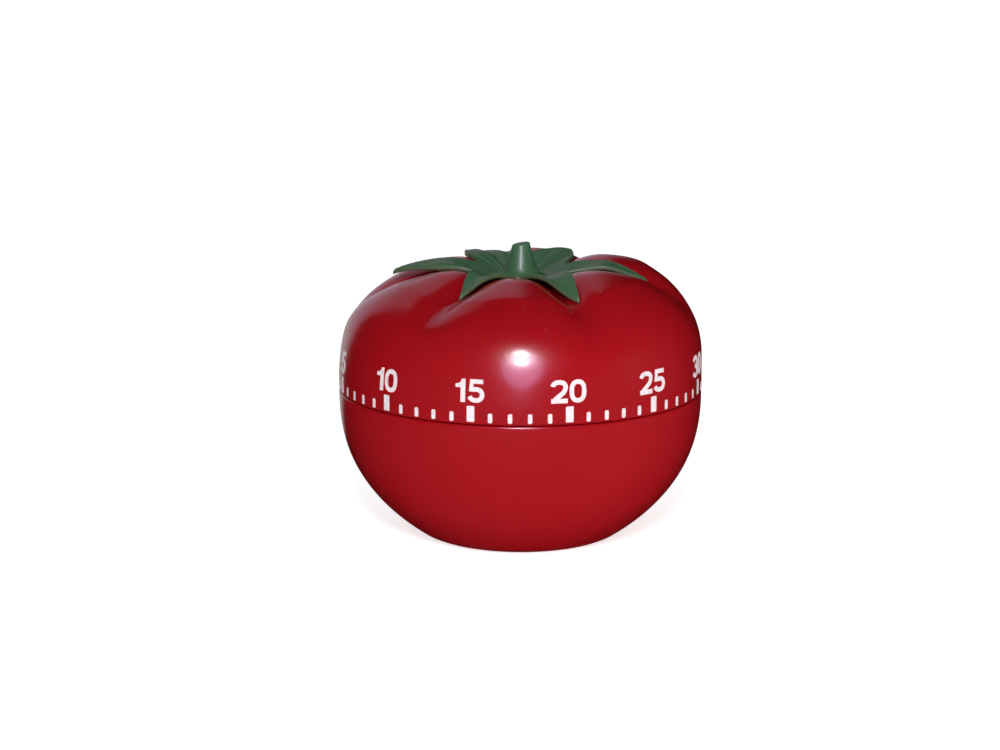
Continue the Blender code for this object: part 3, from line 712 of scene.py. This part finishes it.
# %% [markdown]
# Sixty marks are one mark repeated, so Geometry Nodes place them: points on the axis, each with an
# instance turned a step further. A switch on the number of the mark keeps every fifth one, or all
# the others.

# %% Rings of marks
def ring_tree():
    tree, src, out = new_group("Ring of marks", "GeometryNodeTree", [
        ("Mark", "NodeSocketObject", None), ("Count", "NodeSocketInt", 60), ("Group", "NodeSocketInt", 5),
        ("Group leaders", "NodeSocketBool", False), ("Ink", "NodeSocketMaterial", None)],
        [("Geometry", "NodeSocketGeometry")])
    tree.is_modifier = True
    points = node(tree, "GeometryNodePoints", Count=src.outputs["Count"])
    index = node(tree, "GeometryNodeInputIndex").outputs[0]
    turn = mul(tree, index, math(tree, "DIVIDE", 2 * pi, src.outputs["Count"]))
    spin = node(tree, "ShaderNodeCombineXYZ", Z=turn)
    rest = math(tree, "MODULO", index, src.outputs["Group"])
    leads = math(tree, "LESS_THAN", rest, 0.5)
    wanted = node(tree, "FunctionNodeCompare", {"data_type": "FLOAT", "operation": "EQUAL"}, i0=leads,
                  i1=src.outputs["Group leaders"])
    shape = node(tree, "GeometryNodeObjectInfo", Object=src.outputs["Mark"])
    copies = node(tree, "GeometryNodeInstanceOnPoints", Points=points.outputs[0], Selection=wanted.outputs[0],
                  Instance=shape.outputs["Geometry"], Rotation=spin.outputs[0])
    real = node(tree, "GeometryNodeRealizeInstances", Geometry=copies.outputs[0])
    inked = node(tree, "GeometryNodeSetMaterial", Geometry=real.outputs[0], Material=src.outputs["Ink"])
    tree.links.new(inked.outputs[0], out.inputs["Geometry"])
    return tree


RING = ring_tree()


def ring_of(name, mark, count, group, leaders, look):
    """Copies of a mesh about the axis: those that lead a group, or those that don't."""
    shape = new_object("pattern", mark)
    carrier = new_object(name, bpy.data.meshes.new(name))
    mod = carrier.modifiers.new("ring", "NODES")
    mod.node_group = RING
    set_inputs(mod, RING, Mark=shape, Count=count, Group=group, Group_leaders=leaders, Ink=look)
    made = evaluated(carrier, name)
    bpy.data.objects.remove(shape, do_unlink=True)
    return made


MINUTE = (0.8, 1.8, 0.28, 0.5)  # width, height, corner radius, height above the rim
FIVE = (1.45, 2.95, 0.15, 0.6)
for name, (w, h, c, up), leaders in (("minute_marks", MINUTE, False), ("five_minute_marks", FIVE, True)):
    mark = lay_mesh(strips(mark_mesh(w, h, c), 0.4, 0.7), ZERO_AZ, up)
    place(ring_of(name, mark, 60, 5, leaders, scale_white), "dial", "red_plastic")

# %% [markdown]
# The numerals are bold and plain, with every stroke the same width. A stroke is a ribbon along a
# smooth line, and the strokes of a figure are joined into one solid before it is bent. Only six
# different figures are needed.

# %% Figures from strokes
STROKE, FIG_W, FIG_H = 0.85, 3.25, 4.3
CX, RX, RY = FIG_W / 2, (FIG_W - STROKE) / 2, (FIG_H - STROKE) / 2


def arc(cx, cy, rx, ry, start, end, steps=14, square=2.3):
    """Points on a slightly squared ellipse."""
    pts = []
    for a in np.radians(np.linspace(start, end, steps)):
        c, s = cos(a), sin(a)
        pts.append((cx + rx * np.sign(c) * abs(c) ** (2 / square),
                    cy + ry * np.sign(s) * abs(s) ** (2 / square)))
    return pts


def ribbon(points, closed=False):
    """The two edges of a stroke along points, as a left and a right row."""
    p = np.array(points, float)
    ahead = np.roll(p, -1, 0) - np.roll(p, 1, 0) if closed else np.gradient(p, axis=0)
    ahead /= np.linalg.norm(ahead, axis=1)[:, None]
    side = np.stack([-ahead[:, 1], ahead[:, 0]], 1) * STROKE / 2
    return p + side, p - side


def solid_outline(loop):
    """A flat solid, from -1 to 1 in depth, with the given outline."""
    return flat_mesh([(x, y, z) for z in (-1.0, 1.0) for x, y in loop], prism_faces(len(loop)))


def flat_mesh(verts, faces):
    mesh = bpy.data.meshes.new("flat")
    mesh.from_pydata([tuple(map(float, v)) for v in verts], [], faces)
    return clean(mesh, False)


def solid_stroke(points):
    left, right = ribbon(points)
    return solid_outline([tuple(v) for v in left] + [tuple(v) for v in right[::-1]])


def solid_ring(points):
    left, right = ribbon(points, closed=True)
    n = len(points)
    verts = [(x, y, z) for row, z in ((left, -1), (left, 1), (right, 1), (right, -1)) for x, y in row]
    return flat_mesh(verts, grid_faces(4, n, close=True))


def box(x0, y0, x1, y1):
    return solid_outline([(x0, y0), (x1, y0), (x1, y1), (x0, y1)])


def figure(kind):
    """The solids of one figure, and its width."""
    low, high, w = STROKE / 2, FIG_H - STROKE / 2, STROKE
    if kind == "0":
        return [solid_ring(arc(CX, FIG_H / 2, RX, RY, 0, 345, 24, 2.5))], FIG_W
    if kind == "1":
        return [solid_outline([(1.05, 0), (1.95, 0), (1.95, FIG_H), (1.25, FIG_H), (1.05, 3.75), (0.65, 3.45),
                               (0.05, 3.35), (0.05, 2.7), (1.05, 2.7)])], 2.05
    if kind == "2":
        bend = arc(CX, 3.0, RX, high - 3.0, 175, 0)
        bend += [(2.75, 2.55), (2.45, 2.0), (1.85, 1.5), (1.1, 0.95), (0.62, 0.45)]
        return [solid_stroke(bend), box(0.12, 0.0, FIG_W - 0.05, w)], FIG_W
    if kind == "3":
        top = arc(CX, 3.05, RX - 0.1, high - 3.05, 170, -60) + [(CX - 0.3, 2.32)]
        foot = [(CX - 0.3, 2.28)] + arc(CX, 1.33, RX, 1.33 - low, 60, -170)
        return [solid_stroke(top), solid_stroke(foot)], FIG_W
    if kind == "4":
        slant = [(0.0, 1.2), (1.0, 1.2), (2.5, 3.4), (2.5, FIG_H), (2.05, FIG_H), (0.0, 1.65)]
        return [box(2.0, 0.0, 2.0 + w, FIG_H), box(0.0, 0.9, FIG_W, 0.9 + 0.75), solid_outline(slant)], FIG_W
    bowl = [(0.95, 2.42)] + arc(CX - 0.02, 1.45, RX, 1.45 - low, 100, -165)
    back = [(0.3, 2.05), (1.1, 2.05), (1.2, FIG_H), (0.5, FIG_H)]
    return [solid_outline(back), box(0.55, FIG_H - 0.8, 2.95, FIG_H), solid_stroke(bowl)], FIG_W


def joined(meshes):
    """Union of solids, as one mesh."""
    first, *rest = [new_object("stroke", m) for m in meshes]
    done = cut(first, rest, "UNION")
    mesh = done.data
    bpy.data.objects.remove(done, do_unlink=True)
    return mesh


FIGURES = {kind: (joined(figure(kind)[0]), figure(kind)[1]) for kind in "012345"}
print("figures:", {kind: len(mesh.polygons) for kind, (mesh, _) in FIGURES.items()})

# %% [markdown]
# Each number is centred over its mark and laid on the dome figure by figure.

# %% Numerals
FIG_UP, FIG_GAP, FIG_SHIFT = 4.2, 0.3, -0.2  # foot above the rim, space between, small offset
laid = []
for minute in range(0, 60, 5):
    text = str(minute)
    wide = sum(FIGURES[c][1] for c in text) + FIG_GAP * (len(text) - 1)
    x = FIG_SHIFT - wide / 2
    for c in text:
        part = FIGURES[c][0].copy()
        part.transform(Matrix.Translation((x, 0, 0)))
        laid.append(lay_mesh(strips(part, 0.45, 0.8), ZERO_AZ + 6.0 * minute, FIG_UP))
        x += FIGURES[c][1] + FIG_GAP
numerals = merged("scale_numerals", laid)
place(new_object("scale_numerals", numerals, scale_white), "dial", "red_plastic")

# %% [markdown]
# Below the parting line one small triangle points at the running minute. It is printed on the lower
# half, so it stays while the scale creeps past.

# %% Index mark
INDEX_W, INDEX_H, INDEX_TOP = 2.6, 2.6, 27.6


def lay_on_body(mesh, az0):
    """Lay a flat mesh on the lower half, its y = 0 at the top of the index mark."""
    co = np.array([v.co for v in mesh.vertices])
    z = INDEX_TOP + co[:, 1]
    r = np.array([body_radius(v) for v in z]) + np.where(co[:, 2] > 0, INK_OVER, -INK_UNDER)
    angle = np.radians(az0) + co[:, 0] / BODY_R
    laid = np.stack([r * np.cos(angle), r * np.sin(angle), z], -1) * MM
    mesh.vertices.foreach_set("co", laid.ravel())
    mesh.update()
    return clean(mesh, False)


triangle = solid_outline([(0, 0), (-INDEX_W / 2, -INDEX_H), (INDEX_W / 2, -INDEX_H)])
triangle = lay_on_body(strips(triangle, 0.45, 0.7), ZERO_AZ)
place(new_object("index_mark", triangle, scale_white), "base", "red_plastic")

# %% [markdown]
# ## Screws under the base
# Three small pan heads sit in the wells and hold the movement. One is modelled with its cross recess
# and the same ring tree that made the marks sets it three times.

# %% Base screws
def recess(width, depth, z0, z1):
    """A cross-shaped plug that narrows upwards."""
    verts = []
    for z, k in ((z0, 1.0), (z1, 0.45)):
        a, b = width * k, 0.28 * (0.5 + 0.5 * k)
        for q in range(4):
            for x, y in ((a, -b), (a, b), (b, b)):
                c, s = cos(q * pi / 2), sin(q * pi / 2)
                verts.append((x * c - y * s, x * s + y * c, z))
    return mesh_from("tool", verts, prism_faces(len(verts) // 2), False)


screw_mesh = turned("screw", [(0, 1.1), (1.0, 1.12), (1.55, 1.25), (1.85, 1.5), (1.97, 1.8), (2.0, 2.2),
                              (1.05, 2.2), (1.05, 14.0), (0, 14.2)], 40)
screw = cut(new_object("screw", screw_mesh), [new_object("tool", recess(1.15, 0.28, 0.9, 1.95))])
screw.data.transform(Matrix.Translation(Vector((0, SCREW_R, 0)) * MM) @ Matrix.Rotation(radians(20), 4, "Z"))
shape = screw.data.copy()
bpy.data.objects.remove(screw, do_unlink=True)
base_screws = ring_of("base_screws", shape, len(SCREW_AZ), 1, True, METALS["zinc_plate"])
base_screws.data.polygons.foreach_set("use_smooth", [False] * len(base_screws.data.polygons))
place(base_screws, "base", "zinc_plate", "base_screw_1", "base_screw_2", "base_screw_3")

# %% [markdown]
# ## The calyx
# One green moulding: a stem stub that flares into a star of six leaves. It lies on the dome, so its
# height is the dome's own height plus a gap. The star is laid out in polar form: for each direction
# there is a distance at which the leaf ends.

# %% Height of the dome under a point
def dome_section(az, share=1.0):
    """Radius and height of the dome's surface along one direction, inner end first."""
    push = crest_line[:, 3] * cos(radians(az - FULL_AZ)) - crest_line[:, 2] * crease(az) * share
    pushed = crest_line[:, :2] + crest_out * push[:, None]
    return pushed[::-1, 0], SEAM + pushed[::-1, 1]


# Leaves: azimuth of the middle, distance of the tip from the axis, width, how much it arches up, how
# far its sides hang, and how deep the middle and the tip lie in the crease.
LEAVES = [(-18.5, 20.8, 0.8, 0.0, 0.0, 0.4, 0.9), (42.5, 23.6, 0.74, 0.0, 0.0, 0.4, 1.0),
          (100.0, 24.4, 0.75, 0.0, 0.7, 0.3, 1.0), (165.0, 20.3, 1.1, 0.0, 0.5, 0.5, 0.5),
          (225.0, 22.0, 1.25, 0.3, 0.6, 0.3, 0.3), (279.5, 24.8, 1.0, 0.9, 1.0, 0.2, 0.1)]
# One leaf's edge: how far from its middle (1 is the notch beside it) and the distance from the axis.
EDGE_T = (0.0, 0.03, 0.09, 0.2, 0.33, 0.5, 0.7, 0.88, 1.0)
EDGE_R = (23.0, 22.6, 21.3, 19.2, 17.2, 14.7, 12.0, 10.3, 9.8)
LEAF_T, LEAF_GAP = 0.75, 0.1
LEAF_COLUMNS = 26


def leaf_columns():
    """Azimuth, place across the leaf from -1 to 1, reach and the leaf, for each column of the calyx."""
    out = []
    for k, leaf in enumerate(LEAVES):
        mid, tip, wide = leaf[:3]
        before = (mid - (LEAVES[k - 1][0] - (360 if k == 0 else 0))) / 2
        after = (LEAVES[(k + 1) % len(LEAVES)][0] + (360 if k == len(LEAVES) - 1 else 0) - mid) / 2
        edge_t = [t * wide if t < 0.6 else 1 - (1 - t) * (1 - 0.5 * wide) / 0.5 for t in EDGE_T]
        for j in range(LEAF_COLUMNS):
            t = 2 * j / LEAF_COLUMNS - 1
            across = np.sign(t) * abs(t) ** 1.5
            reach = np.interp(abs(across), edge_t, EDGE_R)
            reach = EDGE_R[-1] + (reach - EDGE_R[-1]) * (tip - EDGE_R[-1]) / (EDGE_R[0] - EDGE_R[-1])
            out.append((mid + across * (before if across < 0 else after), across, reach, leaf))
    return out


columns = leaf_columns()
print("calyx columns:", len(columns))

# %% [markdown]
# Rings run down the stem, out over the leaves and back beneath, and make a closed skin. The upper
# side gets ribs and a raised rim.

# %% Calyx
RIB, RIBS, BEAD, BEAD_WIDTH = 0.13, 5, 0.14, 0.35  # height and number of ribs, the raised rim
HANG_REACH = 3.5  # a leaf's side hangs by its full amount this far out
LEAN, LEAN_AZ, LEAN_FROM = 0.08, 105.0, 54.5  # the cut top of the stem is tilted
STEM = [(0.0, 56.5), (1.5, 56.5), (1.66, 56.42), (1.74, 56.2), (1.84, 55.75), (2.12, 54.8), (2.42, 53.8),
        (2.75, 52.8), (3.05, 51.9), (3.4, 51.2), (3.85, 50.75), (4.4, 50.45)]
ROWS_TOP, ROWS_UNDER = 44, 26
HUB_ROW_R, RIM_WIDTH = 5.0, 0.35


def drape(r, az, leaf):
    """Height of a leaf's underside. It bridges the crease, arches up a little, and its sides hang."""
    _, tip, _, arch, hang, share_mid, share_tip = leaf
    s = r / tip
    share = np.interp(s, (0.3, 0.65, 1.0), (share_mid, share_mid, share_tip))
    ground = np.interp(r, *dome_section(az, share))
    up = np.interp(s, (0.35, 0.6, 0.8, 1.0), (0.0, 0.8, 1.0, 0.55))
    side = abs(r * sin(radians(az - leaf[0]))) / HANG_REACH
    clear = np.interp(r, *dome_section(az))
    return max(ground + LEAF_GAP + up * (arch - hang * side ** 2), clear + LEAF_GAP)


def leaf_top(r, az, across, reach, leaf):
    """Height of a leaf's upper side."""
    s = (r - HUB_ROW_R) / (leaf[1] - HUB_ROW_R)
    fade = min(1, s * 5) * min(1, (reach - r) / 2.5)
    ribs = RIB * cos(across * RIBS * pi) * fade
    edge = min(1.0, (reach - r) / 0.5)
    body = LEAF_T * (0.4 + 0.6 * sqrt(max(0.0, 1 - (1 - edge) ** 2)))
    bead = BEAD * exp(-((reach - r - 0.5) / BEAD_WIDTH) ** 2)
    return drape(r, az, leaf) + body + ribs + bead


def calyx_rows():
    """Rows of (radius, height, rim) for every column: down the stem, out over the leaves, back beneath."""
    for r, z in STEM:
        yield [(r, z, 0.0)] * len(columns)
    for t in np.linspace(0, 1, ROWS_TOP):
        spots = [HUB_ROW_R + (reach - HUB_ROW_R) * (1 - (1 - t) ** 1.4) for _, _, reach, _ in columns]
        yield [(r, leaf_top(r, a, x, reach, leaf), max(0.0, 1 - (reach - r) / RIM_WIDTH))
               for r, (a, x, reach, leaf) in zip(spots, columns)]
    for t in np.linspace(0.998, 0, ROWS_UNDER):
        yield [(reach * t, drape(reach * t, a, leaf), 1.0 if t > 0.99 else 0.0)
               for a, _, reach, leaf in columns]


def leaned(r, az, z):
    return z + LEAN * max(0.0, z - LEAN_FROM) * polar(r, az - LEAN_AZ)[0]


rows = list(calyx_rows())
verts = [(*polar(r, a), leaned(r, a, z)) for row in rows for (a, *_), (r, z, _) in zip(columns, row)]
calyx_mesh = bpy.data.meshes.new("calyx_leaves")
calyx_mesh.from_pydata((np.array(verts) * MM).tolist(), [], grid_faces(len(rows), len(columns)))
rim = calyx_mesh.attributes.new("rim", "FLOAT", "POINT")
rim.data.foreach_set("value", [v[2] for row in rows for v in row])
clean(calyx_mesh)
place(new_object("calyx_leaves", calyx_mesh, leaf_green), "dial", "green_plastic", "calyx")

# %% [markdown]
# ## Floor, light and camera
# A pale floor and a bright, even surround, as in a light tent. Gloss would mirror that surround and
# turn the red milky, so what gloss sees is kept dark, apart from one bright wall behind on the left,
# which draws the sheen on the lobes.

# %% Stage
bpy.context.scene.view_settings.view_transform = "Standard"
CORNER_AZ = -146.5  # the way to the bright wall
FRONT_AZ = 55.0  # the floor throws more light up on this side
WALL_LIGHT, DARK_LIGHT = 0.5, 0.001  # what gloss sees of the wall, and of all the rest
WHITE = (1.0, 1.0, 1.0)
FLOOR_WHITE, FLOOR_GLOW, SKY_GLOW = (0.93, 0.93, 0.93), 0.72, 0.32


def value_mix(tree, amount, a, b):
    """Number a where amount is 0, b where it is 1."""
    return node(tree, "ShaderNodeMix", {"data_type": "FLOAT"}, i0=amount, i2=a, i3=b).outputs[0]


def along_way(tree, vector, az):
    return node(tree, "ShaderNodeVectorMath", {"operation": "DOT_PRODUCT"}, i0=vector,
                i1=(*polar(1.0, az), 0.0)).outputs["Value"]


def corner_group():
    """Mask of what lies towards the bright wall."""
    tree, src, out = new_group("Bright corner", "ShaderNodeTree", [("Way", VECTOR, None)], [("Mask", FLOAT)])
    flat = node(tree, "ShaderNodeVectorMath", {"operation": "MULTIPLY"}, i0=src.outputs["Way"],
                i1=(1.0, 1.0, 0.0)).outputs[0]
    flat = node(tree, "ShaderNodeVectorMath", {"operation": "NORMALIZE"}, i0=flat).outputs[0]
    mask = remap(tree, along_way(tree, flat, CORNER_AZ), 0.9, 0.955)
    tree.links.new(mask, out.inputs["Mask"])
    return tree


CORNER = corner_group()
corners = [(-3000, -3000, 0), (3000, -3000, 0), (3000, 3000, 0), (-3000, 3000, 0)]
floor = new_object("floor", mesh_from("floor", corners, [(0, 1, 2, 3)]))
floor_look, tree, shader = principled("pale_floor", FLOOR_WHITE, Roughness=1.0, Specular_IOR_Level=0.0)
gloss = node(tree, "ShaderNodeLightPath").outputs["Is Glossy Ray"]
spot = object_at(tree)
wall = group_node(tree, CORNER, Way=spot).outputs["Mask"]
far = node(tree, "ShaderNodeVectorMath", {"operation": "LENGTH"}, i0=spot).outputs["Value"]
far = remap(tree, far, 0.07, 0.09)
wall = math(tree, "MULTIPLY_ADD", mul(tree, wall, far), WALL_LIGHT, DARK_LIGHT)
tree.links.new(mix(tree, gloss, FLOOR_WHITE, (0.0, 0.0, 0.0)), shader.inputs["Base Color"])
shader.inputs["Emission Color"].default_value = (*WHITE, 1.0)
front = along_way(tree, spot, FRONT_AZ)
bounce = remap(tree, front, -0.06, 0.1, 0.1, 0.7)
glow = value_mix(tree, gloss, bounce, wall)
seen = node(tree, "ShaderNodeLightPath").outputs["Is Camera Ray"]
tree.links.new(value_mix(tree, seen, glow, FLOOR_GLOW), shader.inputs["Emission Strength"])
floor.data.materials.append(floor_look)
print("floor laid, bright wall towards", CORNER_AZ)

world = bpy.data.worlds.new("studio")
bpy.context.scene.world = world
world.use_nodes = True
tree = world.node_tree
back = tree.nodes["Background"]
paths = node(tree, "ShaderNodeLightPath")
gloss = paths.outputs["Is Glossy Ray"]
sky = node(tree, "ShaderNodeTexCoord").outputs["Generated"]
wall = group_node(tree, CORNER, Way=sky).outputs["Mask"]
height = node(tree, "ShaderNodeSeparateXYZ", Vector=sky).outputs["Z"]
low = remap(tree, height, 0.76, 0.82, 1.0, 0.0)
dimmer = remap(tree, height, 0.1, 0.55, WALL_LIGHT, 0.3)
wall = math(tree, "MULTIPLY_ADD", mul(tree, wall, low), dimmer, DARK_LIGHT)
lit = value_mix(tree, gloss, SKY_GLOW, wall)
tree.links.new(value_mix(tree, paths.outputs["Is Camera Ray"], lit, 1.0), back.inputs["Strength"])
tree.links.new(mix(tree, gloss, WHITE, (1.0, 0.8, 1.0)), back.inputs["Color"])

# %% [markdown]
# Some lamps light the surfaces and others show only in the gloss, so that brightness and highlight
# can be set apart. The camera looks slightly down.

# %% Lamps and camera
VIEW_AZ, VIEW_EL, VIEW_DIST, VIEW_ROLL = 15.0, 12.08, 584.15, 0.3
TARGET = Vector((0, 0, SEAM + 1.6))


def toward(az, el):
    """Direction at an azimuth and a height above the horizon, in degrees."""
    return Vector((*polar(cos(radians(el)), az), sin(radians(el))))


def lamp(name, way, dist, size, power, colour=(1, 1, 1), diffuse=True, glossy=True):
    """An oval lamp that faces the timer and never shows itself to the camera."""
    data = bpy.data.lights.new(name, "AREA")
    data.shape, data.energy, data.color = "ELLIPSE", power, colour
    data.size, data.size_y = size[0] * MM, size[1] * MM
    obj = bpy.data.objects.new(name, data)
    bpy.context.scene.collection.objects.link(obj)
    obj.location = (TARGET + way * dist) * MM
    obj.rotation_euler = way.to_track_quat("Z", "Y").to_euler()
    obj.visible_camera, obj.visible_diffuse, obj.visible_glossy = False, diffuse, glossy


lamp("key", toward(VIEW_AZ, 27.0), 600, (85, 120), 1.85, (1.0, 0.97, 1.0), glossy=False)
lamp("key_glint", toward(VIEW_AZ, 27.0), 600, (80, 220), 3.4, (1.0, 0.95, 1.0), diffuse=False)
lamp("key_glow", toward(VIEW_AZ + 0.5, 15.0), 640, (270, 400), 1.5, (0.75, 0.55, 1.0), diffuse=False)
lamp("right_fill", toward(VIEW_AZ + 75, 5.0), 700, (300, 300), 0.42, glossy=False)

cam_data = bpy.data.cameras.new("camera")
cam_data.lens, cam_data.sensor_width = 108.7, 36.0
cam_data.shift_x, cam_data.shift_y = -0.0203, 0.0029
cam_data.clip_start = 0.01
cam = bpy.data.objects.new("camera", cam_data)
bpy.context.scene.collection.objects.link(cam)
way = toward(VIEW_AZ, VIEW_EL)
cam.location = (TARGET + way * VIEW_DIST) * MM
look = way.to_track_quat("Z", "Y").to_matrix() @ Matrix.Rotation(radians(VIEW_ROLL), 3, "Z")
cam.rotation_euler = look.to_euler()
bpy.context.scene.camera = cam
print("camera %.0f mm away, %.2f degrees up" % (VIEW_DIST, VIEW_EL))
